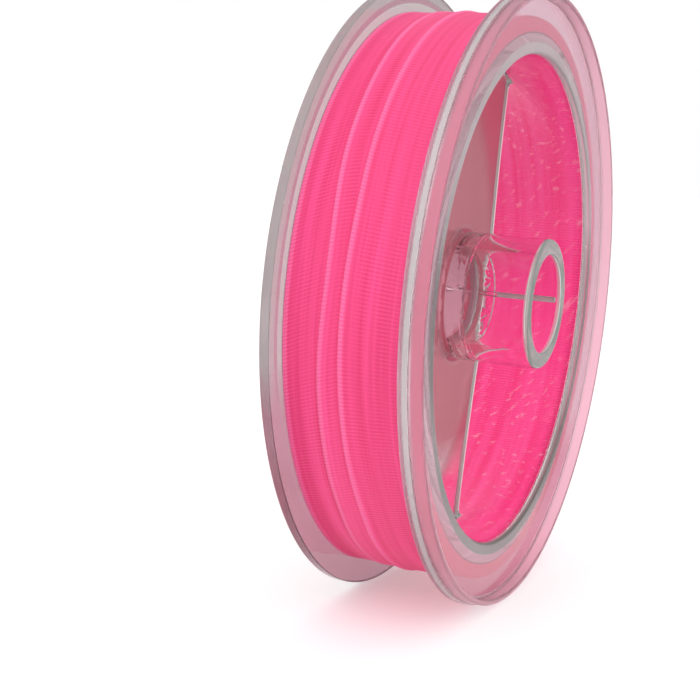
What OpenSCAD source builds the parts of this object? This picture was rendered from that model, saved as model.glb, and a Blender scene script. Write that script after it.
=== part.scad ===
// Clear moulded spool, wound with a flat woven tape.
// The axis of the bore is X, and +X points out of the end where the hub stands proud.
// +Z is up, and the spool stands on the rims of its two flanges.
// The origin is on the axis, midway between the inner faces of the flanges.
// All sizes are in millimetres and all angles in degrees.

/* [Flanges] */
// Radius of both flanges
flange_r = 37.5; // [36.5:0.5:45]
// Thickness of each flange
flange_t = 1.2; // [0.8:0.1:2.5]
// Chamfer round the outer edge of each flange and of the stacking rim
flange_chamfer = 0.25; // [0.1:0.05:0.3]
// Clear width between the flanges, which the tape fills
winding_w = 14.6; // [13:0.2:24]
// Height of the stacking rim that stands on the near flange
rim_h = 1.5; // [0.8:0.1:2.5]
// Distance that the stacking rim is set in from the edge of the near flange
rim_step = 0.2; // [0.1:0.05:0.6]
// Wall of the stacking rim
rim_t = 0.7; // [0.6:0.1:1.8]

/* [Drum] */
// Distance that the flanges reach beyond the drum
flange_reach = 5.1; // [3.5:0.1:8]
// Wall of the drum, round the opening
drum_t = 2.5; // [1.5:0.1:3.5]
// Chamfer round both mouths of the opening
mouth_chamfer = 0.4; // [0.2:0.1:0.7]

/* [Hub] */
// Radius of the bore that a spindle passes through
bore_r = 6; // [4:0.1:7]
// Wall of the hub tube
hub_t = 2; // [1:0.1:4]
// Distance that the hub stands proud of the near flange
hub_proud = 3.2; // [1:0.1:6]
// Distance that the hub ends below the face of the far flange
hub_recess = 3; // [0.5:0.1:5]
// Chamfer round the outside of both hub ends
hub_chamfer = 0.5; // [0.2:0.1:0.9]
// Width of the rib that stiffens the hub along one side
rib_w = 0.8; // [0.5:0.1:2]
// Height of that rib above the hub
rib_h = 0.7; // [0.4:0.1:1]
// Length of the hub that each end of the rib leaves bare
rib_end_gap = 1.2; // [0.6:0.1:2]

/* [Web] */
// Thickness of the flat web bar that carries the hub
web_t = 0.9; // [0.6:0.1:3]
// Distance that the web bar is wider than the hub on each side
web_margin = 1.3; // [1.1:0.1:5]
// Lean of the web bar from the vertical, about the axis of the bore
web_lean = 6.7; // [0:0.1:30]

/* [Tape] */
// Width of the woven tape
tape_w = 7.1; // [4:0.1:7.5]
// Thickness of the tape with its woven ribs
tape_t = 0.2; // [0.1:0.05:0.3]
// Gap from one outer turn to the turn below it
turn_gap = 0.42; // [0.42:0.02:0.5]
// Outer turns that lie on the plain core
turn_count = 3; // [2:1:3]
// Depth of the plain core of inner turns
core_depth = 0.4; // [0.3:0.05:0.8]
// Gap from the plain core to the first outer turn
core_gap = 0.05; // [0.05:0.05:0.2]
// Gap from an outer turn to the flange beside it
side_gap = 0.15; // [0.05:0.05:0.4]
// Sideways step from the middle of the turn on top to the turn just below it
top_step = 2.6; // [0.5:0.1:3]
// Round length of the tape that each sticky tab holds down
tab_length = 12; // [6:1:16]
// Width of each sticky tab
tab_w = 6; // [3:0.5:7]
// Thickness of each sticky tab
tab_t = 0.1; // [0.05:0.05:0.2]
// Place of the inner tab round the drum, from the front and upwards
start_tab_angle = 60; // [0:5:360]

/* [Hidden] */
$fn = 144;

// Degrees in a full turn
FULL_TURN = 360;
// Length by which a cutting solid passes the solid that it cuts
CUT_PAST = 1;

// Planes across the axis
flange_in_x = winding_w / 2;
flange_out_x = flange_in_x + flange_t;
hub_near_x = flange_out_x + hub_proud;
hub_far_x = -flange_out_x + hub_recess;

// Radii round the axis
drum_r = flange_r - flange_reach;
opening_r = drum_r - drum_t;
hub_r = bore_r + hub_t;
core_r = drum_r + core_depth;

// The outer turns rise evenly, so each clears the one below it by turn_gap
rings_per_turn = 24;
ring_step = FULL_TURN / rings_per_turn;
ring_count = turn_count * rings_per_turn;
turn_rise = tape_t + turn_gap;
// A chord between two rings dips below the ring radius by this factor
chord_factor = cos(ring_step / 2);
first_turn_r = (core_r + core_gap) / chord_factor + tape_t / 2;
// The tape's selvedges are thinner than its middle over this width
selvedge_w = 0.3;

// Sideways places of the middle of the tape, from the first outer turn to the top one
far_lane_x = -flange_in_x + side_gap + tape_w / 2;
near_lane_x = flange_in_x - side_gap - tape_w / 2;
lanes = turn_count == 2 ? [far_lane_x, near_lane_x]
                        : [far_lane_x, near_lane_x - top_step, near_lane_x];

// The winding starts and ends at the back, where it also crosses from lane to lane
start_angle = 180;
crossing_half = 90;

// Angle of an arc of a given length at a given radius
function arc_angle(arc_length, r) = arc_length / r * FULL_TURN / (2 * PI);

// Smooth step from 0 to 1
function ease(t) = let (c = min(max(t, 0), 1)) c * c * (3 - 2 * c);

function sum(v, i = 0) = i >= len(v) ? 0 : v[i] + sum(v, i + 1);

// Sideways place of the tape after it has turned by angle s from its start
function lane_at(s) =
    lanes[0] + (turn_count < 2 ? 0 :
    sum([for (k = [1:turn_count - 1])
        (lanes[k] - lanes[k - 1]) * ease((s - k * FULL_TURN + crossing_half) / (2 * crossing_half))]));

// Point at a radius, at an angle from the front (-Y) upwards, and at a place along the axis
function on_axis(x, r, a) = [x, -r * cos(a), r * sin(a)];

// Outline of the flat tape: [sideways, outwards] from its middle
tape_outline = [
    [-tape_w / 2, 0],
    [-tape_w / 2 + selvedge_w, tape_t / 2],
    [tape_w / 2 - selvedge_w, tape_t / 2],
    [tape_w / 2, 0],
    [tape_w / 2 - selvedge_w, -tape_t / 2],
    [-tape_w / 2 + selvedge_w, -tape_t / 2]];

function turn_r(s) = first_turn_r + turn_rise * s / FULL_TURN;

function tape_ring(i) = let (s = i * ring_step)
    [for (p = tape_outline) on_axis(lane_at(s) + p[0], turn_r(s) + p[1], start_angle + s)];

// Least gap from each turn to the one above it, at points across both faces
gap_samples = 16;
function face_point(i, k, side) = let (s = i * ring_step, across = (k / gap_samples - 0.5) * tape_w)
    on_axis(lane_at(s) + across, turn_r(s) + side * tape_t / 2, start_angle + s);
least_gap = min([for (i = [0:ring_count - rings_per_turn], j = [0:gap_samples], k = [0:gap_samples])
    norm(face_point(i, j, 1) - face_point(i + rings_per_turn, k, -1))]);
echo(tape_outer_turns_least_gap_mm = least_gap);

// Top of the last turn, and of the turn below it, where the tape ends
end_s = ring_count * ring_step;
end_top_r = turn_r(end_s) + tape_t / 2;
below_top_r = end_top_r - turn_rise;
tab_angle = arc_angle(tab_length, drum_r);

module along_x(x) {
    translate([x, 0, 0]) rotate([0, 90, 0]) children();
}

// Solid of revolution about X of an outline of [radius, place along X]
module turned(outline) {
    rotate([0, 90, 0]) rotate_extrude() polygon(outline);
}

// Plain ring about X
module ring(r_in, r_out, x_low, x_high) {
    turned([[r_in, x_low], [r_out, x_low], [r_out, x_high], [r_in, x_high]]);
}

// Part of a ring about X, between two angles measured from the front upwards
module arc_strip(r_in, r_out, x_low, x_high, from_angle, to_angle) {
    rotate([-to_angle - 90, 0, 0]) rotate([0, 90, 0])
        rotate_extrude(angle = to_angle - from_angle)
            polygon([[r_in, x_low], [r_out, x_low], [r_out, x_high], [r_in, x_high]]);
}

module near_flange() {
    color("#DCC8D0", 0.6) ring(drum_r, flange_r, flange_in_x, flange_out_x);
}

module far_flange() {
    color("#CDB9C1", 0.6) turned([
        [drum_r, -flange_in_x],
        [flange_r, -flange_in_x],
        [flange_r, -flange_out_x + flange_chamfer],
        [flange_r - flange_chamfer, -flange_out_x],
        [drum_r, -flange_out_x]]);
}

module stacking_rim() {
    rim_out_r = flange_r - rim_step;
    rim_in_r = rim_out_r - rim_t;
    rim_top_x = flange_out_x + rim_h;
    color("#E6D7DC", 0.6) turned([
        [rim_in_r, flange_out_x],
        [rim_out_r, flange_out_x],
        [rim_out_r, rim_top_x - flange_chamfer],
        [rim_out_r - flange_chamfer, rim_top_x],
        [rim_in_r + flange_chamfer, rim_top_x],
        [rim_in_r, rim_top_x - flange_chamfer]]);
}

// Tube that carries the tape; both flanges stand on its ends
module drum_wall() {
    color("#E4D0D8", 0.6) turned([
        [opening_r, -flange_out_x + mouth_chamfer],
        [opening_r + mouth_chamfer, -flange_out_x],
        [drum_r, -flange_out_x],
        [drum_r, flange_out_x],
        [opening_r + mouth_chamfer, flange_out_x],
        [opening_r, flange_out_x - mouth_chamfer]]);
}

// Flat bar across the opening, with a window left open on each side of it
module web_bar() {
    color("#C3768A", 0.7) rotate([-web_lean, 0, 0]) difference() {
        intersection() {
            cube([web_t, 2 * (hub_r + web_margin), 2 * opening_r], center = true);
            along_x(-web_t) cylinder(h = 2 * web_t, r = opening_r);
        }
        along_x(-web_t) cylinder(h = 2 * web_t, r = hub_r);
    }
}

module hub_tube() {
    color("#D9C3CC", 0.6) turned([
        [bore_r, hub_far_x],
        [hub_r - hub_chamfer, hub_far_x],
        [hub_r, hub_far_x + hub_chamfer],
        [hub_r, hub_near_x - hub_chamfer],
        [hub_r - hub_chamfer, hub_near_x],
        [bore_r, hub_near_x]]);
}

// Rib along the back of the hub, in two lengths that butt against the web bar
module hub_rib() {
    color("#CDB4BE", 0.6) difference() {
        translate([hub_far_x + rib_end_gap, 0, -rib_w / 2])
            cube([hub_near_x - hub_far_x - 2 * rib_end_gap, hub_r + rib_h, rib_w]);
        along_x(hub_far_x) cylinder(h = hub_near_x - hub_far_x, r = hub_r);
        translate([-web_t / 2, 0, -hub_r]) cube([web_t, 2 * hub_r, 2 * hub_r]);
    }
}

// Inner turns of the tape as one plain ring, with a bed for the inner tab
module tape_core() {
    color("#F0447E") difference() {
        ring(drum_r, core_r, -flange_in_x, flange_in_x);
        arc_strip(drum_r - CUT_PAST, drum_r + tab_t, -tab_w / 2, tab_w / 2,
            start_tab_angle, start_tab_angle + tab_angle);
    }
}

// Outer turns as one unbroken flat band
module tape_outer_turns() {
    sides = len(tape_outline);
    points = [for (i = [0:ring_count]) each tape_ring(i)];
    walls = [for (i = [0:ring_count - 1], j = [0:sides - 1])
        let (a = i * sides + j, b = i * sides + (j + 1) % sides)
        each [[a, b, b + sides], [a, b + sides, a + sides]]];
    first_cap = [for (j = [1:sides - 2]) [0, j + 1, j]];
    last = ring_count * sides;
    last_cap = [for (j = [1:sides - 2]) [last, last + j, last + j + 1]];
    color("#F54D87") polyhedron(points = points, faces = concat(walls, first_cap, last_cap));
}

// Sticky tab between the drum and the core, under the inner end of the tape
module start_tab() {
    color("#F2EEE6") arc_strip(drum_r, drum_r + tab_t, -tab_w / 2, tab_w / 2,
        start_tab_angle, start_tab_angle + tab_angle);
}

// Sticky tab over the outer end of the tape: it steps down onto the turn below
module end_tab() {
    low_x = (near_lane_x + lane_at(end_s - FULL_TURN)) / 2 - tab_w / 2;
    high_x = low_x + tab_w;
    end_angle = start_angle + end_s;
    step_angle = arc_angle(tab_t, end_top_r);
    from_angle = end_angle - tab_angle / 2;
    to_angle = end_angle + tab_angle / 2;
    color("#F2EEE6") union() {
        arc_strip(end_top_r, end_top_r + tab_t, low_x, high_x, from_angle, end_angle + step_angle);
        arc_strip(below_top_r, end_top_r + tab_t, low_x, high_x, end_angle, end_angle + step_angle);
        arc_strip(below_top_r, below_top_r + tab_t, low_x, high_x, end_angle, to_angle);
    }
}

near_flange();
far_flange();
stacking_rim();
drum_wall();
web_bar();
hub_tube();
hub_rib();
tape_core();
tape_outer_turns();
start_tab();
end_tab();
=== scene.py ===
"""Clear moulded spool wound with a flat woven tape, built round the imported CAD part.

The axis of the bore is X and +X points out of the end where the hub stands proud.
Shapes are worked out in millimetres and turned to metres when their mesh is made.
An angle round the spool is measured from the front (-Y) upwards (+Z).
"""
import math

import bmesh
import bpy
import numpy as np
from mathutils import Matrix, Vector


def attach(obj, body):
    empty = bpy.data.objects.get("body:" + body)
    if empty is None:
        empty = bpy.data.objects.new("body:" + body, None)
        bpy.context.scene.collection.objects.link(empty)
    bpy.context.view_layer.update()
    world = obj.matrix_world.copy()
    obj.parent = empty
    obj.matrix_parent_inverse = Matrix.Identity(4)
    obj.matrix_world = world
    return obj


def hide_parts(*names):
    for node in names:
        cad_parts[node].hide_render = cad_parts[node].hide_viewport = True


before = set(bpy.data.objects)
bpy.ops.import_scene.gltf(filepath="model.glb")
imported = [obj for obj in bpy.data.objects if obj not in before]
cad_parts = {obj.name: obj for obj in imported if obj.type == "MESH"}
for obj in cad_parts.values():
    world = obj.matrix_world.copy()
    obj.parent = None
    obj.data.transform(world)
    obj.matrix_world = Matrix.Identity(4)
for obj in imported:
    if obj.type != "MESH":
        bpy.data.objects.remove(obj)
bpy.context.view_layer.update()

MM = 0.001
FULL_TURN = 360.0
# Marked edges are those where two faces meet at more than this angle
SHARP_ANGLE = math.radians(34)

# The clear moulding, in mm
FLANGE_R = 37.5
FLANGE_IN_X = 7.3
FLANGE_OUT_X = 8.5
RIM_TOP_X = 10.0
RIM_IN_R = 36.6
RIM_OUT_R = 37.3
DRUM_R = 32.4
OPENING_R = 29.9
BORE_R = 6.0
HUB_R = 8.0
HUB_NEAR_X = 11.7
HUB_FAR_X = -5.5
WEB_HALF_T = 0.45
WEB_HALF_W = 9.3
WEB_LEAN = 6.7
WEB_FLARE = 1.3
WEB_FLARE_L = 13.0
WEB_FILLET = 0.45
RIB_TOP_R = 8.7
RIB_HALF_W = 0.4
RIB_END_GAP = 1.2
RIB_SUNK = 0.6
LATHE_SIDES = 360
# Steps along a rounded corner, and how far beyond its ends the points that keep the flats flat are
CORNER_STEPS = 5
CORNER_HOLD = 0.06
# Corners of the united moulding that lie nearer than this are one corner
WELD = 0.003

# The woven tape, in mm
TAPE_W = 7.1
TAPE_T = 0.14
TAPE_LIFT = 0.17
TAPE_R = 34.3
SIDE_X = 7.26
INNER_FAR_X = -6.4
WEFTS_PER_TURN = 500
ROWS_PER_WEFT = 4
TURNS = 3
# Half the height of a rib, and how much more it is on the bead along a selvedge
RIB_RISE = 0.017
BEAD_RIB_RISE = 0.02
# The bead's height, its distance from the edge of the tape, and its width
BEAD_RISE = 0.035
BEAD_IN = 0.2
BEAD_W = 0.14
# How far in from its edge the tape has its full thickness. At the edge itself it has half
EDGE_TAPER = 0.1

# The turns below: how many layers show at the sides, and how many points each layer has there
LAYERS = 7
POINTS_PER_LAYER = 2
# How far the sides stand back, and how much a layer's edge bulges, shifts and wanders, in mm
SIDE_BACK = 0.1
LAYER_BULGE = 0.06
LAYER_SHIFT = 0.22
LAYER_WANDER = 0.05
# Their gaps to the drum and to the outer turns, and half the height of their ribs, in mm
DRUM_GAP = 0.12
OUTER_GAP = 0.03
INSIDE_RIB_RISE = 0.02

# The tab over the tape's end: its length in degrees round the spool, then its width and thickness in
# mm, and its height over the tape
END_TAB_TURN = 20.0
END_TAB_W = 6.0
END_TAB_T = 0.1
END_TAB_LIFT = 0.06

# Sockets of a Mix node for numbers and for colours, which have no names of their own
SHARE, NUMBER_A, NUMBER_B, NUMBER_OUT = 0, 2, 3, 0
COLOUR_A, COLOUR_B, COLOUR_OUT = 6, 7, 2


def linear(hex_colour):
    """An sRGB hex colour as linear RGBA."""
    parts = [int(hex_colour[i:i + 2], 16) / 255 for i in (1, 3, 5)]
    return tuple(c / 12.92 if c <= 0.04045 else ((c + 0.055) / 1.055) ** 2.4 for c in parts) + (1.0,)


def node(tree, kind, links=None, **settings):
    """Adds one shader node. links maps an input to a socket or a value, and settings are its attributes."""
    made = tree.nodes.new(kind)
    for name, value in settings.items():
        setattr(made, name, value)
    for name, value in (links or {}).items():
        socket = made.inputs[name]
        if isinstance(value, bpy.types.NodeSocket):
            tree.links.new(value, socket)
        else:
            socket.default_value = value
    return made


def material(name):
    """A new material, its node tree, and the Principled shader that is all there is in the tree."""
    made = bpy.data.materials.new(name)
    made.use_nodes = True
    tree = made.node_tree
    tree.nodes.clear()
    shader = node(tree, "ShaderNodeBsdfPrincipled")
    return made, tree, shader


def show(tree, socket):
    """Shows a shader on the surface."""
    node(tree, "ShaderNodeOutputMaterial", {"Surface": socket})


def stops(ramp, places):
    """Sets a ramp's colours: pairs of a place from 0 to 1 and an sRGB hex colour."""
    elements = ramp.color_ramp.elements
    while len(elements) < len(places):
        elements.new(0.5)
    for element, (place, colour) in zip(elements, places):
        element.position = place
        element.color = linear(colour)


def grid_faces(rows, columns, close_rows, close_columns):
    """Quads of a grid of points numbered row by row, closed round on itself where asked."""
    i = np.arange(rows if close_rows else rows - 1)
    j = np.arange(columns if close_columns else columns - 1)
    i, j = [a.ravel() for a in np.meshgrid(i, j, indexing="ij")]
    i2, j2 = (i + 1) % rows, (j + 1) % columns
    return np.stack([i * columns + j, i * columns + j2, i2 * columns + j2, i2 * columns + j], -1)


def make_mesh(name, points, faces, uv=None):
    """A mesh object from points in mm and faces, with a UV pair per point where given."""
    mesh = bpy.data.meshes.new(name)
    places = (np.asarray(points).reshape(-1, 3) * MM).tolist()
    mesh.from_pydata(places, [], [list(map(int, face)) for face in faces])
    mesh.update()
    mesh.shade_smooth()
    if uv is not None:
        layer = mesh.uv_layers.new(name="along_tape")
        loop_points = np.zeros(len(mesh.loops), np.int32)
        mesh.loops.foreach_get("vertex_index", loop_points)
        layer.data.foreach_set("uv", np.asarray(uv, np.float32).reshape(-1, 2)[loop_points].ravel())
    made = bpy.data.objects.new(name, mesh)
    bpy.context.scene.collection.objects.link(made)
    return made


def around(x, r, angle):
    """Points in mm at a place along the axis, a radius, and an angle in degrees from the front upwards."""
    a = np.radians(angle)
    return np.stack(np.broadcast_arrays(x, -r * np.cos(a), r * np.sin(a)), -1)


def ease(t):
    """Smooth step: 0 below 0, 1 above 1, and t * t * (3 - 2t) between."""
    c = np.clip(t, 0, 1)
    return c * c * (3 - 2 * c)


def rounded(corners, extra):
    """A closed outline with each corner (r, x, radius) turned into an arc.

    The arc starts and ends where a circle of that radius touches both sides,
    and a holding point just beyond each end keeps the flats flat when shaded.
    extra gives places along the axis for more points on the side after a corner.
    """
    out = []
    count = len(corners)
    for k in range(count):
        before, here, after = (np.array(corners[(k + d) % count][:2], float) for d in (-1, 0, 1))
        radius = corners[k][2]
        a, b = before - here, after - here
        a, b = a / np.linalg.norm(a), b / np.linalg.norm(b)
        half = math.acos(np.clip(np.dot(a, b), -1, 1)) / 2
        reach = radius / math.tan(half)
        centre = here + (a + b) / np.linalg.norm(a + b) * radius / math.sin(half)
        start, end = here + a * reach - centre, here + b * reach - centre
        out.append(here + a * (reach + CORNER_HOLD))
        spread = math.pi - 2 * half
        for t in np.linspace(0, 1, CORNER_STEPS + 1):
            arm = start * math.sin((1 - t) * spread) + end * math.sin(t * spread)
            out.append(centre + arm / math.sin(spread))
        out.append(here + b * (reach + CORNER_HOLD))
        for place in extra.get(k, ()):
            out.append(np.array([here[0], place]))
    return np.array(out)


def outward(made):
    """Turns all the faces of a closed mesh outwards, judged by the sign of its volume."""
    mesh = made.data
    mesh.calc_loop_triangles()
    tri = np.zeros(len(mesh.loop_triangles) * 3, np.int32)
    mesh.loop_triangles.foreach_get("vertices", tri)
    co = np.zeros(len(mesh.vertices) * 3, np.float32)
    mesh.vertices.foreach_get("co", co)
    p = co.reshape(-1, 3)[tri.reshape(-1, 3)]
    if np.einsum("ij,ij->i", p[:, 0], np.cross(p[:, 1], p[:, 2])).sum() < 0:
        mesh.flip_normals()
    return made


def lathe(name, outline):
    """A closed outline of (r, x) turned round the axis."""
    angle = np.arange(LATHE_SIDES) * FULL_TURN / LATHE_SIDES
    points = around(outline[None, :, 1], outline[None, :, 0], angle[:, None])
    return outward(make_mesh(name, points, grid_faces(LATHE_SIDES, len(outline), True, True)))


def strip_faces(rows, count):
    """The faces of a closed cross-section of count points carried along rows, with a cap at each end."""
    faces = grid_faces(rows, count, False, True).tolist()
    return faces + [list(range(count))[::-1], list(range((rows - 1) * count, rows * count))]


def drum_and_flanges():
    """The drum with both flanges and the stacking rim, as one outline turned round the axis.

    The extra points are on the drum's inside, beside the web.
    """
    return lathe("drum_and_flanges", rounded([
        (OPENING_R, -FLANGE_OUT_X, 0.4),
        (FLANGE_R, -FLANGE_OUT_X, 0.25),
        (FLANGE_R, -FLANGE_IN_X, 0.12),
        (DRUM_R, -FLANGE_IN_X, 0.2),
        (DRUM_R, FLANGE_IN_X, 0.2),
        (FLANGE_R, FLANGE_IN_X, 0.12),
        (FLANGE_R, FLANGE_OUT_X - 0.05, 0.12),
        (RIM_OUT_R, FLANGE_OUT_X, 0.06),
        (RIM_OUT_R, RIM_TOP_X, 0.25),
        (RIM_IN_R, RIM_TOP_X, 0.25),
        (RIM_IN_R, FLANGE_OUT_X, 0.25),
        (OPENING_R, FLANGE_OUT_X, 0.4)], {11: (1.9, 1.4, -1.4, -1.9)}))


def hub():
    """The hub tube: an outline with rounded ends turned round the axis, with extra points beside the web."""
    return lathe("hub", rounded([
        (BORE_R, HUB_FAR_X, 0.3),
        (HUB_R, HUB_FAR_X, 0.5),
        (HUB_R, HUB_NEAR_X, 0.5),
        (BORE_R, HUB_NEAR_X, 0.3)], {1: (-1.7, -1.25, 1.25, 1.7)}))


def web_bar():
    """A flat bar with a round hole inside the wall of the hub, filleted to the hub and to the drum.

    Seen along the axis it is a fan of rays: each ray runs from inside the hub's wall to the side
    of the bar or to inside the drum's wall, whichever comes first. The bar's half width is
    WEB_HALF_W plus WEB_FLARE times a bell curve of the distance along the bar, so it widens at the
    hub. Its half thickness is WEB_HALF_T plus a quarter-round fillet of WEB_FILLET where it meets
    the hub and the drum.
    """
    rays, steps = 720, 40
    turn = np.radians(np.arange(rays) * FULL_TURN / rays - WEB_LEAN)
    inner = (BORE_R + HUB_R) / 2
    across = np.maximum(np.abs(np.sin(turn)), 1e-6)
    outer = WEB_HALF_W / across
    # A ray's length depends on the width where it ends, so it's found by steps that close in on it
    for _ in range(30):
        outer = (WEB_HALF_W + WEB_FLARE * np.exp(-(outer * np.cos(turn) / WEB_FLARE_L) ** 2)) / across
    outer = np.minimum(outer, OPENING_R + 1.0)
    t = (1 - np.cos(np.linspace(0, np.pi, steps))) / 2
    rho = inner + t[None, :] * (outer[:, None] - inner)

    def fillet(distance):
        d = np.clip(WEB_FILLET - np.maximum(distance, 0), 0, WEB_FILLET)
        return WEB_FILLET - np.sqrt(WEB_FILLET ** 2 - d ** 2)

    half = WEB_HALF_T + fillet(rho - HUB_R) + fillet(OPENING_R - rho)
    angle = 90 + WEB_LEAN + np.degrees(turn)[:, None]
    front = around(half, rho, angle)
    back = around(-half, rho, angle)[:, ::-1]
    ring = np.concatenate([front, back], 1)
    return outward(make_mesh("web_bar", ring, grid_faces(rays, 2 * steps, True, True)))


def hub_rib():
    """A rib along the back of the hub: a cross-section with a round top carried along the axis."""
    steps = 9
    roll = np.linspace(0, np.pi, steps)
    root = [HUB_R - RIB_SUNK]
    y = np.concatenate([root, RIB_TOP_R - RIB_HALF_W * (1 - np.sin(roll)), root])
    z = np.concatenate([[-RIB_HALF_W], -RIB_HALF_W * np.cos(roll), [RIB_HALF_W]])
    x = np.array([HUB_FAR_X + RIB_END_GAP, HUB_NEAR_X - RIB_END_GAP])
    points = np.stack(np.broadcast_arrays(x[:, None], y[None, :], z[None, :]), -1)
    return outward(make_mesh("hub_rib", points, strip_faces(2, len(y))))


def clear_moulding():
    """One clear solid: the drum with its flanges and rim, united with the web bar, the hub and its rib."""
    body = drum_and_flanges()
    for tool in (web_bar(), hub(), hub_rib()):
        union = body.modifiers.new("union", "BOOLEAN")
        union.operation = "UNION"
        union.solver = "EXACT"
        union.object = tool
        bpy.context.view_layer.update()
        united = body.evaluated_get(bpy.context.evaluated_depsgraph_get())
        merged = bpy.data.meshes.new_from_object(united)
        body.modifiers.clear()
        body.data = merged
        bpy.data.objects.remove(tool)
    welded = bmesh.new()
    welded.from_mesh(body.data)
    bmesh.ops.remove_doubles(welded, verts=welded.verts, dist=WELD * MM)
    welded.to_mesh(body.data)
    welded.free()
    body.data.set_sharp_from_angle(angle=SHARP_ANGLE)
    body.name = body.data.name = "clear_moulding"
    return body


def left_edge(s):
    """Place in mm along the axis of the tape's far edge, s degrees round from the tape's start.

    Each turn keeps to its own lane round the front and wanders a little, as the machine laid it.
    """
    marks = np.array([
        (-400, -7.26), (90, -7.26), (270, -7.26), (330, -6.2), (400, -4.0), (440, -3.4),
        (486, -3.25), (500, -3.05), (510, -3.18), (530, -3.2), (540, -2.85), (548, -2.62), (556, -2.75),
        (564, -3.1), (570, -3.35), (600, -3.5), (640, -3.3), (700, -2.0), (760, -0.9), (800, -0.5),
        (849, -0.4), (858, -0.2), (866, -0.32), (876, -0.55), (890, -0.64), (898, -0.6), (907, -0.45),
        (918, -0.28), (929, -0.4), (960, -0.5), (990, -0.4), (1040, -0.1), (1080, 0.0), (1500, 0.0)])
    fine = np.arange(-400, 1500, 1.0)
    kernel = np.hanning(15)
    values = np.interp(fine, marks[:, 0], marks[:, 1])
    smooth = np.convolve(np.pad(values, 7, mode="edge"), kernel / kernel.sum(), "valid")
    return np.interp(s, fine, smooth)


def tape_width(s):
    """Width of the tape: narrower where it's squeezed against the near flange."""
    return np.minimum(TAPE_W, SIDE_X - left_edge(s))


def level(s, x):
    """How many earlier turns lie under the tape at turning angle s and place x."""
    bridge, lead = 0.5, 6.0
    total = 0.0
    for k in range(1, TURNS):
        under = s - k * FULL_TURN
        left = left_edge(under)
        right = left + tape_width(under)
        total = total + ease((x - left + bridge) / bridge) * ease((right + bridge - x) / bridge) \
            * ease((under + lead) / lead)
    return total


def outer_turns():
    """The outermost turns of the tape as one unbroken flat band.

    Its outline across runs over the outer face and back along the inner face. Each row of points
    lies along one weft rib, so rows lean with the weave. The outer face is lifted by a cosine of
    one wave per rib, and by a bead along each selvedge, and the whole band by TAPE_LIFT for each
    earlier turn under it.
    """
    rows = TURNS * WEFTS_PER_TURN * ROWS_PER_WEFT + 1
    row = np.arange(rows)
    s = row * FULL_TURN * TURNS / (rows - 1)
    outer_u = np.array([0, .1, .3, .55, 1.8, 3.55, 5.3, 6.55, 6.8, 7.0, TAPE_W]) / TAPE_W
    inner_u = np.array([6.95, 4.7, 2.4, .15]) / TAPE_W
    u = np.concatenate([outer_u, inner_u])
    face = np.concatenate([np.ones(len(outer_u)), -np.ones(len(inner_u))])
    edge = np.minimum(u, 1 - u) * TAPE_W
    bead = np.exp(-((edge - BEAD_IN) / BEAD_W) ** 2)
    taper = ease(edge / EDGE_TAPER * 0.5 + 0.5)
    # How far the ribs lean out of square, as a slope, at places round the three turns
    leans = np.array([
        (0, 0.05), (120, 0.15), (180, 0.42), (215, 0.38), (360, 0.0), (510, 0.3), (540, 0.31), (575, 0.14),
        (640, 0.0), (740, 0.1), (860, 0.1), (885, -0.02), (905, -0.1), (935, -0.13), (1080, 0.0)])
    lean = np.interp(s, leans[:, 0], leans[:, 1])
    x = left_edge(s)[:, None] + u[None, :] * tape_width(s)[:, None]
    angle = 180 + s[:, None] + np.degrees(lean[:, None] * (u[None, :] - 0.5) * TAPE_W / TAPE_R)
    wave = np.cos(2 * np.pi * row / ROWS_PER_WEFT)[:, None]
    rib = wave * (RIB_RISE + BEAD_RIB_RISE * bead[None, :])
    outer_face = (face > 0)[None, :]
    r = TAPE_R + TAPE_LIFT * level(s[:, None], x) + face[None, :] * TAPE_T / 2 * taper[None, :] \
        + outer_face * (rib * taper[None, :] + BEAD_RISE * bead[None, :])
    uv = np.stack(np.broadcast_arrays(u[None, :] * TAPE_W, (row / ROWS_PER_WEFT)[:, None]), -1)
    faces = strip_faces(rows, len(u))
    return outward(make_mesh("tape_outer_turns_woven", around(x, r, angle), faces, uv))


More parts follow.
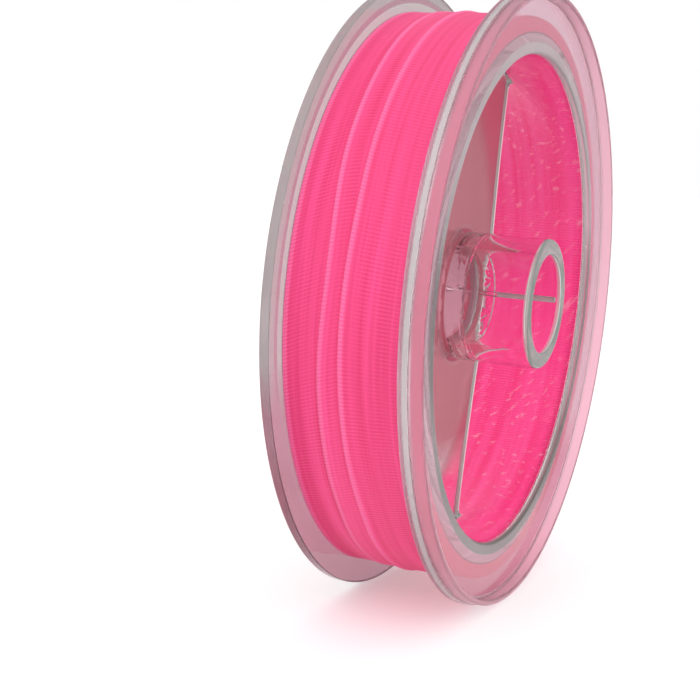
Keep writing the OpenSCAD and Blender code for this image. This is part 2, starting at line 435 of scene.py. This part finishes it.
def inner_turns():
    """The turns below, as one ring with a rib for each weft inside and each layer's edge at its sides.

    Going round the cross-section: the inner face, the near side, the outer face and the far side.
    A side is pushed in between layers by the absolute sine of the radius in layers, and each
    layer's edge wanders by a slow sine of the angle.
    """
    rows = WEFTS_PER_TURN * ROWS_PER_WEFT
    angle = np.arange(rows) * FULL_TURN / rows
    low, high = DRUM_R + DRUM_GAP, TAPE_R - TAPE_T / 2 - OUTER_GAP
    side_r = np.linspace(low, high, LAYERS * POINTS_PER_LAYER + 1)
    inner_x = np.linspace(INNER_FAR_X + 0.1, SIDE_X - 0.2, 12)
    rng = np.random.default_rng(4)
    in_layer = np.abs(np.sin(np.pi * np.arange(len(side_r)) / POINTS_PER_LAYER))

    def side(place, sign):
        shift = np.repeat(rng.uniform(0, LAYER_SHIFT, LAYERS + 1), POINTS_PER_LAYER)[:len(side_r)]
        phase = np.repeat(rng.uniform(0, FULL_TURN, LAYERS + 1), POINTS_PER_LAYER)[:len(side_r)]
        wave = LAYER_WANDER * np.sin(np.radians(2 * angle[:, None] + phase[None, :]))
        x = place + sign * (LAYER_BULGE * in_layer[None, :] - SIDE_BACK - shift[None, :] - wave)
        return x, np.broadcast_to(side_r, x.shape)

    near_x, near_r = side(SIDE_X, 1)
    far_x, far_r = side(INNER_FAR_X, -1)
    rib = INSIDE_RIB_RISE * np.cos(2 * np.pi * np.arange(rows) / ROWS_PER_WEFT)[:, None]
    inside_x = np.broadcast_to(inner_x, (rows, len(inner_x)))
    x = np.concatenate([inside_x, near_x, far_x[:, ::-1]], 1)
    r = np.concatenate([low + rib * np.ones_like(inside_x), near_r, far_r[:, ::-1]], 1)
    v = (np.arange(rows) / ROWS_PER_WEFT)[:, None]
    uv = np.stack(np.broadcast_arrays(x - x.min(), v), -1)
    faces = grid_faces(rows, x.shape[1], True, True)
    return outward(make_mesh("tape_inner_turns", around(x, r, angle[:, None]), faces, uv))


def end_tab():
    """The tab over the tape's outer end: a thin sheet along the tape that drops onto the turn below."""
    rows, columns = 60, 24
    end = TURNS * FULL_TURN
    a = np.linspace(-END_TAB_TURN / 2, END_TAB_TURN / 2, rows)[:, None]
    mid = (left_edge(end) + left_edge(end - FULL_TURN) + TAPE_W) / 2
    x = mid + np.linspace(-END_TAB_W / 2, END_TAB_W / 2, columns)[None, :]
    top = TAPE_R + TAPE_T / 2 + END_TAB_LIFT
    above = top + TAPE_LIFT * level(end - 1e-3 + np.minimum(a, 0), x)
    below = top + TAPE_LIFT * level(end - FULL_TURN + np.maximum(a, 0), x)
    # It comes down over 1.2 degrees, just past the end of the tape
    drop = ease((a - 0.1) / 1.2)
    r = above * (1 - drop) + below * drop
    under, over = [around(x + 0 * a, r + lift, 180 + end + a + 0 * x) for lift in (0.0, END_TAB_T)]
    ring = np.concatenate([under, over[:, ::-1]], 1)
    return outward(make_mesh("end_tab_sheet", ring, strip_faces(rows, 2 * columns)))


# How the clear moulding looks where it isn't plain. Each line is a ring about the axis, and may be cut
# down to a band beside the web's edge and to a span of height: its places along the axis and its radii
# in mm, then distances beyond the web's edge and heights, and then the colour it gives to light, its
# roughness and how clear it is. The colours are painted light: a painted rosy glow of the tape in thin
# walls, painted rose-grey shade where the hub, web and far flange show what lies behind them, painted
# greys and grey-greens on the web's edges, the lips and the hub's end, painted white highlights, and
# parts painted lighter at the top or darker at the bottom. The moulded edges are also satin or milky.
# From the top: the hub's root, the web, the hub's foot, the web's edges and their ends, the far flange,
# the lip of the drum on both sides, the near flange and its rim, the hub's rib and end.
ANYWHERE = (-90.0, 90.0)
PLASTIC_ZONES_WITH_PAINTED_LIGHT = [
    # Painted rose-grey shade with the tape's painted glow: the hub's root, the web and the hub's foot
    (((-6.0, 0.8), (5.0, 8.6)), "#CA8E9E", 0.03, 0.76),
    (((-1.6, 1.6), (8.6, 29.7), ANYWHERE, (-21.0, 90.0)), "#DC8191", 0.10, 0.54),
    (((-1.3, 1.3), (7.9, 8.9)), "#E0909E", 0.20, 0.62),
    # Painted grey-green on the web's edges and their ends, and a painted white highlight along its front edge
    (((-0.6, 0.6), (9.0, 29.6), (-1.35, 0.6)), "#B4C0BA", 0.20, 0.30),
    (((-1.0, 1.0), (29.3, 30.4), (-1.35, 0.15)), "#B4C0BA", 0.20, 0.30),
    (((-0.6, 0.6), (9.0, 29.4), (-0.35, 0.6)), "#FFFFFF", 0.20, 0.10),
    # Painted rose-grey on the far flange, painted grey on its upper outer part, a painted white reflection
    # beside the tape above, and painted pale rose on the far lip
    (((-8.7, -7.2), (32.6, 37.7)), "#C79EAB", 0.08, 0.85),
    (((-8.7, -7.2), (36.2, 37.7), ANYWHERE, (-9.0, 90.0)), "#D2D2D0", 0.10, 0.62),
    (((-7.5, -7.1), (34.4, 35.5), ANYWHERE, (-9.0, 90.0)), "#D8F6EC", 0.20, 0.05),
    (((-8.7, -6.4), (29.5, 32.5)), "#E8C8D2", 0.30, 0.55),
    # Painted grey on the near lip, painted lighter at the top and darker at the bottom
    (((8.0, 8.7), (29.5, 31.4)), "#C8C4C4", 0.30, 0.70),
    (((8.0, 8.7), (29.5, 31.4), ANYWHERE, (6.0, 90.0)), "#ECE6E8", 0.25, 0.60),
    (((8.0, 8.7), (29.5, 31.4), ANYWHERE, (-90.0, -16.0)), "#98A09A", 0.30, 0.62),
    # Painted rosy glow on the near flange, a deeper painted pink at its bottom, and a painted white highlight
    # on the rim
    (((7.2, 8.7), (31.4, 36.4)), "#F8D2E0", 0.10, 0.76),
    (((7.2, 8.7), (31.4, 36.4), ANYWHERE, (-90.0, -20.0)), "#E8A2B8", 0.10, 0.76),
    (((7.2, 7.8), (36.4, 37.7)), "#F4B4CA", 0.30, 0.80),
    (((7.8, 8.5), (36.4, 37.7)), "#F0F0F0", 0.30, 0.60),
    (((8.5, 10.2), (36.4, 37.7)), "#F8C4D4", 0.30, 0.85),
    # The hub's rib is milky, and the hub's end a painted grey-green
    (((3.0, 11.0), (8.3, 9.0)), "#D8D0D0", 0.30, 0.20),
    (((11.2, 12.0), (5.5, 8.2)), "#D4E0D9", 0.12, 0.60)]
# Half the width in mm of the ramp at each side of a zone, for each of its spans
ZONE_RAMPS = (0.1, 0.1, 0.1, 3.0)
# Where the drum's inside is scuffed, the angle of the scuffs in radians, and how many times longer than
# wide they are
SCUFFED = ((-7.5, 7.9), (29.5, 30.2))
SCUFF_SLANT = 0.93
SCUFF_STRETCH = 8.0
# Where the hub's surface is rippled, and how high the ripples are
RIPPLED = ((-5.0, 3.2), (5.0, 8.3))
RIPPLE_RISE = 0.12
# How many grains of each pattern there are to a metre: scratches 1.1 mm apart, scuffs 0.7 mm, ripples
# 2.4 mm, and patches of painted shade for waves in the film of the tabs 3.3 mm
SCRATCHES = 900.0
SCUFFS = 1500.0
RIPPLES = 420.0
FILM_WAVES = 300.0


def zone(tree, values, spans):
    """1 where each value is within its span in mm, 0 outside, and a ramp between."""
    share = 1.0
    for value, ramp, (low, high) in zip(values, ZONE_RAMPS, spans):
        for edge, inward in ((low, ramp), (high, -ramp)):
            side = node(tree, "ShaderNodeMapRange", {
                "Value": value, "From Min": (edge - inward) * MM, "From Max": (edge + inward) * MM})
            both = node(tree, "ShaderNodeMath", {0: side.outputs[0], 1: share}, operation="MULTIPLY")
            share = both.outputs[0]
    return share


def beyond_web(tree, place):
    """How far a place is beyond the edge of the web, in metres, with its widening at the hub."""
    lean = math.radians(WEB_LEAN)
    beside = node(tree, "ShaderNodeVectorMath", {0: place, 1: (0, math.cos(lean), -math.sin(lean))},
                  operation="DOT_PRODUCT")
    along = node(tree, "ShaderNodeVectorMath", {0: place, 1: (0, math.sin(lean), math.cos(lean))},
                 operation="DOT_PRODUCT")
    reach = node(tree, "ShaderNodeMath", {0: along.outputs["Value"], 1: 1 / (WEB_FLARE_L * MM)},
                 operation="MULTIPLY")
    square = node(tree, "ShaderNodeMath", {0: reach.outputs[0], 1: reach.outputs[0]}, operation="MULTIPLY")
    bell = node(tree, "ShaderNodeMath", {0: math.exp(-1), 1: square.outputs[0]}, operation="POWER")
    edge = node(tree, "ShaderNodeMath", {0: bell.outputs[0], 1: WEB_FLARE * MM, 2: WEB_HALF_W * MM},
                operation="MULTIPLY_ADD")
    off = node(tree, "ShaderNodeMath", {0: beside.outputs["Value"]}, operation="ABSOLUTE")
    beyond = node(tree, "ShaderNodeMath", {0: off.outputs[0], 1: edge.outputs[0]}, operation="SUBTRACT")
    return beyond.outputs[0]


def clear_plastic():
    """Clear polystyrene, injection moulded: glossy and see-through, with fine handling scratches.

    Its zones follow PLASTIC_ZONES_WITH_PAINTED_LIGHT, whose colours are painted glow, shade and highlights,
    faint slanting scuffs lie on the inside of the drum, and ripples where the melt met round the hub bend
    what shows through. Lamps shine through it.
    """
    made, tree, shader = material("clear_polystyrene")
    place = node(tree, "ShaderNodeTexCoord").outputs["Object"]
    split = node(tree, "ShaderNodeSeparateXYZ", {"Vector": place})
    flat = node(tree, "ShaderNodeVectorMath", {0: place, 1: (0, 1, 1)}, operation="MULTIPLY")
    radius = node(tree, "ShaderNodeVectorMath", {0: flat.outputs[0]}, operation="LENGTH")
    values = (split.outputs[0], radius.outputs["Value"], beyond_web(tree, place), split.outputs[2])
    scratch = node(tree, "ShaderNodeTexNoise", {"Vector": place, "Scale": SCRATCHES, "Detail": 3.0})
    polish = node(tree, "ShaderNodeMapRange", {
        "Value": scratch.outputs[0], "From Min": 0.45, "From Max": 0.8, "To Min": 0.01, "To Max": 0.06})
    colour, rough, clear = linear("#FFFFFF"), polish.outputs[0], 1.0
    for spans, zone_painted_colour, zone_rough, zone_clear in PLASTIC_ZONES_WITH_PAINTED_LIGHT:
        share = zone(tree, values, spans)
        colour = node(tree, "ShaderNodeMix", {
            SHARE: share, COLOUR_A: colour, COLOUR_B: linear(zone_painted_colour)},
            data_type="RGBA").outputs[COLOUR_OUT]
        rough = node(tree, "ShaderNodeMix", {
            SHARE: share, NUMBER_A: rough, NUMBER_B: zone_rough}).outputs[NUMBER_OUT]
        clear = node(tree, "ShaderNodeMix", {
            SHARE: share, NUMBER_A: clear, NUMBER_B: zone_clear}).outputs[NUMBER_OUT]
    inside = zone(tree, values, SCUFFED)
    slant = node(tree, "ShaderNodeMapping", {"Vector": place, "Rotation": (0.0, -SCUFF_SLANT, 0.0),
                                             "Scale": (SCUFF_STRETCH, 1.0, 1.0)}, vector_type="TEXTURE")
    scuff = node(tree, "ShaderNodeTexNoise", {"Vector": slant.outputs[0], "Scale": SCUFFS, "Detail": 2.0})
    marks = node(tree, "ShaderNodeMapRange", {
        "Value": scuff.outputs[0], "From Min": 0.60, "From Max": 0.72, "To Max": 0.16})
    dull = node(tree, "ShaderNodeMath", {0: marks.outputs[0], 1: inside}, operation="MULTIPLY")
    clear = node(tree, "ShaderNodeMath", {0: clear, 1: dull.outputs[0]}, operation="SUBTRACT").outputs[0]
    near_hub = zone(tree, values, RIPPLED)
    ripple = node(tree, "ShaderNodeTexNoise", {
        "Vector": place, "Scale": RIPPLES, "Detail": 1.0, "Distortion": 1.5})
    height = node(tree, "ShaderNodeMath", {0: ripple.outputs[0], 1: near_hub}, operation="MULTIPLY")
    bump = node(tree, "ShaderNodeBump", {
        "Strength": 0.5, "Distance": RIPPLE_RISE * MM, "Height": height.outputs[0]})
    tree.links.new(colour, shader.inputs["Base Color"])
    tree.links.new(clear, shader.inputs["Transmission Weight"])
    tree.links.new(rough, shader.inputs["Roughness"])
    tree.links.new(bump.outputs[0], shader.inputs["Normal"])
    shader.inputs["IOR"].default_value = 1.59
    # A dim rose specular tint: painted colour on the reflections, darker and pinker than clear plastic gives
    shader.inputs["Specular Tint"].default_value = linear("#7A6E72")
    path = node(tree, "ShaderNodeLightPath")
    through = node(tree, "ShaderNodeBsdfTransparent", {"Color": linear("#FFFFFF")})
    mix = node(tree, "ShaderNodeMixShader", {
        0: path.outputs["Is Shadow Ray"], 1: shader.outputs[0], 2: through.outputs[0]})
    show(tree, mix.outputs[0])
    return made


def woven_tape(name, dark, light, selvedge_highlight, glow, sheen, gloss):
    """Polyester tape, woven and dyed a fluorescent pink: a satin sheen over fine weft ribs.

    dark and light are the colours of its hollows and crests, painted shade in the hollows and painted light
    on the crests, and also the ends of its tone where that differs at random. selvedge_highlight is the colour
    of a painted highlight along the bead of its first selvedge. The ribs' painted shade stands out in some
    places and hardly in others, and warp threads show as streaks along it. glow is the strength of its
    emission, a painted glow of the dye's own colour, and sheen and gloss are the strengths of its soft and
    sharp highlights.
    """
    made, tree, shader = material(name)
    uv = node(tree, "ShaderNodeUVMap", uv_map="along_tape").outputs[0]
    split = node(tree, "ShaderNodeSeparateXYZ", {"Vector": uv})
    weft = node(tree, "ShaderNodeMath", {0: split.outputs[1], 1: 2 * math.pi}, operation="MULTIPLY")
    crest = node(tree, "ShaderNodeMath", {0: weft.outputs[0]}, operation="COSINE")
    grains = []
    # Patches where the ribs' painted shade is stronger, single threads of the warp, and slack and tight
    # lengths of it
    for across, along in ((0.5, 0.04), (2.6, 0.02), (0.7, 0.008)):
        spot = node(tree, "ShaderNodeVectorMath", {0: uv, 1: (across, along, 0)}, operation="MULTIPLY")
        grain = node(tree, "ShaderNodeTexNoise", {"Vector": spot.outputs[0], "Scale": 1.0, "Detail": 1.0})
        grains.append(grain.outputs[0])
    patch, threads, lengths = grains
    rib_shade_strength = node(tree, "ShaderNodeMapRange", {
        "Value": patch, "From Min": 0.35, "From Max": 0.65, "To Min": 0.04, "To Max": 0.25})
    ribs = node(tree, "ShaderNodeMath", {0: crest.outputs[0], 1: rib_shade_strength.outputs[0], 2: -0.5},
                operation="MULTIPLY_ADD")
    lines = node(tree, "ShaderNodeMath", {0: threads, 1: 0.7, 2: ribs.outputs[0]}, operation="MULTIPLY_ADD")
    tone = node(tree, "ShaderNodeMath", {0: lengths, 1: 1.3, 2: lines.outputs[0]}, operation="MULTIPLY_ADD",
                use_clamp=True)
    # The tone: painted shade in the rib hollows and painted light on the crests, and tone that differs at
    # random along the warp
    ramp = node(tree, "ShaderNodeValToRGB", {"Fac": tone.outputs[0]})
    stops(ramp, [(0.0, dark), (1.0, light)])
    # A painted highlight along the bead of the first selvedge, beaded with the ribs
    selvedge = node(tree, "ShaderNodeMapRange", {"Value": split.outputs[0], "From Min": 0.7, "From Max": 0.4})
    beads = node(tree, "ShaderNodeMath", {0: crest.outputs[0], 1: 0.15, 2: 0.5}, operation="MULTIPLY_ADD")
    share = node(tree, "ShaderNodeMath", {0: selvedge.outputs[0], 1: beads.outputs[0]}, operation="MULTIPLY")
    colour = node(tree, "ShaderNodeMix", {
        SHARE: share.outputs[0], COLOUR_A: ramp.outputs[0], COLOUR_B: linear(selvedge_highlight)},
        data_type="RGBA").outputs[COLOUR_OUT]
    tree.links.new(colour, shader.inputs["Base Color"])
    # Emission of the tape's own colour: a painted glow
    tree.links.new(colour, shader.inputs["Emission Color"])
    shader.inputs["Emission Strength"].default_value = glow
    shader.inputs["Roughness"].default_value = 0.55
    shader.inputs["Specular IOR Level"].default_value = gloss
    shader.inputs["Sheen Weight"].default_value = sheen
    shader.inputs["Sheen Roughness"].default_value = 0.4
    shader.inputs["Sheen Tint"].default_value = linear("#FFC0D8")
    show(tree, shader.outputs[0])
    return made


def sticky_film():
    """White polyester film with adhesive under it: smooth, with patches of painted shade for a faint waviness.
    """
    made, tree, shader = material("white_polyester_film")
    place = node(tree, "ShaderNodeTexCoord").outputs["Object"]
    wave = node(tree, "ShaderNodeTexNoise", {"Vector": place, "Scale": FILM_WAVES})
    # Painted shade and light in patches, for the film's waviness
    ramp = node(tree, "ShaderNodeValToRGB", {"Fac": wave.outputs[0]})
    stops(ramp, [(0.0, "#E6DFD6"), (1.0, "#F4F0EA")])
    tree.links.new(ramp.outputs[0], shader.inputs["Base Color"])
    shader.inputs["Roughness"].default_value = 0.4
    show(tree, shader.outputs[0])
    return made


def dress(made, mat, slot, *nodes):
    """Gives a piece its material and its body, and hides the CAD nodes that it stands for; slot is not used.
    """
    made.data.materials.clear()
    made.data.materials.append(mat)
    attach(made, "root")
    if nodes:
        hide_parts(*nodes)


plastic, film = clear_plastic(), sticky_film()
# The outer turns: painted rib shade, a painted selvedge highlight and a weak painted glow
tape = woven_tape("woven_polyester_tape", "#E02C68", "#F84F90", "#FF7CB2", 0.12, 0.25, 0.5)
# The inner turns are a brighter copy of the tape: a stronger painted glow, emission that stands in for the
# light that the clear drum keeps from them, with less sheen and gloss
inner_tape = woven_tape("woven_polyester_tape_inside_painted_glow", "#EA3274", "#F85294", "#F85294", 0.48, 0.05, 0.1)
dress(clear_moulding(), plastic, "clear_plastic",
      "near_flange", "far_flange", "stacking_rim", "drum_wall", "web_bar", "hub_tube", "hub_rib")
dress(outer_turns(), tape, "woven_tape", "tape_outer_turns")
dress(inner_turns(), inner_tape, "woven_tape", "tape_core")
dress(end_tab(), film, "sticky_tab", "end_tab")
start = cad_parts["start_tab"]
start.data.materials.clear()
start.data.materials.append(film)


# The directions that the camera calls right, up and ahead, and its place in mm
CAMERA_RIGHT = (0.9123, 0.4036, 0.0695)
CAMERA_UP = (-0.1150, 0.0896, 0.9893)
CAMERA_AHEAD = (-0.3931, 0.9105, -0.1281)
CAMERA_PLACE = (62.714, -177.816, 16.382)


def camera():
    """The camera, with a lens of medium length."""
    data = bpy.data.cameras.new("camera")
    data.lens, data.sensor_width = 77.4, 36.0
    data.clip_start, data.clip_end = 0.01, 10.0
    made = bpy.data.objects.new("camera", data)
    bpy.context.scene.collection.objects.link(made)
    turn = Matrix((CAMERA_RIGHT, CAMERA_UP, [-c for c in CAMERA_AHEAD])).transposed().to_4x4()
    made.matrix_world = Matrix.Translation(Vector(CAMERA_PLACE) * MM) @ turn
    bpy.context.scene.camera = made


def lamp(name, place, target, size, power):
    """A square area lamp at a place in metres, aimed at a target."""
    data = bpy.data.lights.new(name, "AREA")
    data.shape, data.size, data.energy = "SQUARE", size, power
    made = bpy.data.objects.new(name, data)
    bpy.context.scene.collection.objects.link(made)
    made.location = place
    made.visible_glossy = False
    made.rotation_euler = (Vector(target) - Vector(place)).to_track_quat("-Z", "Y").to_euler()


# The white screen stands behind the spool, and ends between these angles from its middle
SCREEN_WAY = CAMERA_AHEAD
SCREEN_CORE = math.radians(24)
SCREEN_EDGE = math.radians(34)
# What shows beside the screen, to reflections and through bent light, at the level of the eye
ROOM = "#A8A8A8"
# The floor's half width in mm, and the distances in metres between which the room takes over from it
# in reflections
FLOOR_REACH = 4000
FLOOR_FADE = (0.06, 0.12)


def seen_rays(tree):
    """1 for a ray from the camera, or one that reflection or clear plastic sends on, and 0 for light."""
    path = node(tree, "ShaderNodeLightPath")
    seen = node(tree, "ShaderNodeMath", {0: path.outputs["Is Camera Ray"], 1: path.outputs["Is Glossy Ray"]},
                operation="MAXIMUM")
    return node(tree, "ShaderNodeMath", {0: seen.outputs[0], 1: path.outputs["Is Transmission Ray"]},
                operation="MAXIMUM").outputs[0]


def on_screen(tree, way):
    """1 where a direction from the spool meets the white screen, and 0 beside it."""
    facing = node(tree, "ShaderNodeVectorMath", {0: way, 1: SCREEN_WAY}, operation="DOT_PRODUCT")
    return node(tree, "ShaderNodeMapRange", {
        "Value": facing.outputs["Value"], "From Min": math.cos(SCREEN_EDGE),
        "From Max": math.cos(SCREEN_CORE)}).outputs[0]


def paper_floor():
    """A floor of white paper under the spool, which takes its soft shadow.

    It glows a little to the eye, and bent and reflected rays see the grey room instead of it far away.
    """
    corners = [(x * FLOOR_REACH, y * FLOOR_REACH, -FLANGE_R) for x, y in ((-1, -1), (1, -1), (1, 1), (-1, 1))]
    floor = make_mesh("floor", corners, [(0, 1, 2, 3)])
    made, tree, shader = material("white_paper")
    shader.inputs["Base Color"].default_value = linear("#F0F0F0")
    shader.inputs["Roughness"].default_value = 0.9
    glow = node(tree, "ShaderNodeMapRange", {"Value": seen_rays(tree), "To Max": 0.3})
    light = node(tree, "ShaderNodeEmission", {"Strength": glow.outputs[0]})
    both = node(tree, "ShaderNodeAddShader", {0: shader.outputs[0], 1: light.outputs[0]})
    place = node(tree, "ShaderNodeTexCoord").outputs["Object"]
    away = node(tree, "ShaderNodeVectorMath", {0: place}, operation="LENGTH")
    far = node(tree, "ShaderNodeMapRange", {
        "Value": away.outputs["Value"], "From Min": FLOOR_FADE[0], "From Max": FLOOR_FADE[1]})
    way = node(tree, "ShaderNodeVectorMath", {0: place}, operation="NORMALIZE")
    beside = node(tree, "ShaderNodeMath", {0: 1.0, 1: on_screen(tree, way.outputs[0])}, operation="SUBTRACT")
    path = node(tree, "ShaderNodeLightPath")
    sent_on = node(tree, "ShaderNodeMath", {
        0: path.outputs["Is Glossy Ray"], 1: path.outputs["Is Transmission Ray"]}, operation="MAXIMUM")
    room = node(tree, "ShaderNodeMath", {0: far.outputs[0], 1: beside.outputs[0]}, operation="MULTIPLY")
    share = node(tree, "ShaderNodeMath", {0: room.outputs[0], 1: sent_on.outputs[0]}, operation="MULTIPLY")
    dim = node(tree, "ShaderNodeEmission", {"Color": linear(ROOM), "Strength": 1.0})
    seen = node(tree, "ShaderNodeMixShader", {0: share.outputs[0], 1: both.outputs[0], 2: dim.outputs[0]})
    show(tree, seen.outputs[0])
    floor.data.materials.append(made)


def studio_world():
    """A world that is white to the eye, a grey room with a white screen to bent light, and soft light."""
    world = bpy.data.worlds.new("studio")
    bpy.context.scene.world = world
    world.use_nodes = True
    tree = world.node_tree
    tree.nodes.clear()
    way = node(tree, "ShaderNodeTexCoord").outputs["Generated"]
    split = node(tree, "ShaderNodeSeparateXYZ", {"Vector": way})
    height = node(tree, "ShaderNodeMapRange", {"Value": split.outputs[2], "From Min": -1.0, "From Max": 1.0})
    above = node(tree, "ShaderNodeValToRGB", {"Fac": height.outputs[0]})
    stops(above, [(0.5, ROOM), (0.65, "#B4B4B4"), (1.0, "#C8C8C8")])
    room = node(tree, "ShaderNodeMix", {
        SHARE: on_screen(tree, way), COLOUR_A: above.outputs[0], COLOUR_B: linear("#FFFFFF")},
        data_type="RGBA").outputs[COLOUR_OUT]
    path = node(tree, "ShaderNodeLightPath")
    white = node(tree, "ShaderNodeBackground", {"Color": linear("#FFFFFF"), "Strength": 1.0})
    around_it = node(tree, "ShaderNodeBackground", {"Color": room, "Strength": 1.0})
    light = node(tree, "ShaderNodeBackground", {"Color": linear("#FFFFFF"), "Strength": 0.9})
    lit = node(tree, "ShaderNodeMixShader", {0: seen_rays(tree), 1: light.outputs[0], 2: around_it.outputs[0]})
    sky = node(tree, "ShaderNodeMixShader", {
        0: path.outputs["Is Camera Ray"], 1: lit.outputs[0], 2: white.outputs[0]})
    node(tree, "ShaderNodeOutputWorld", {"Surface": sky.outputs[0]})


camera()
paper_floor()
studio_world()
lamp("key", (0.1, -0.5, 0.55), (0, 0, 0), 0.6, 1.6)
bpy.context.scene.view_settings.view_transform = "Standard"
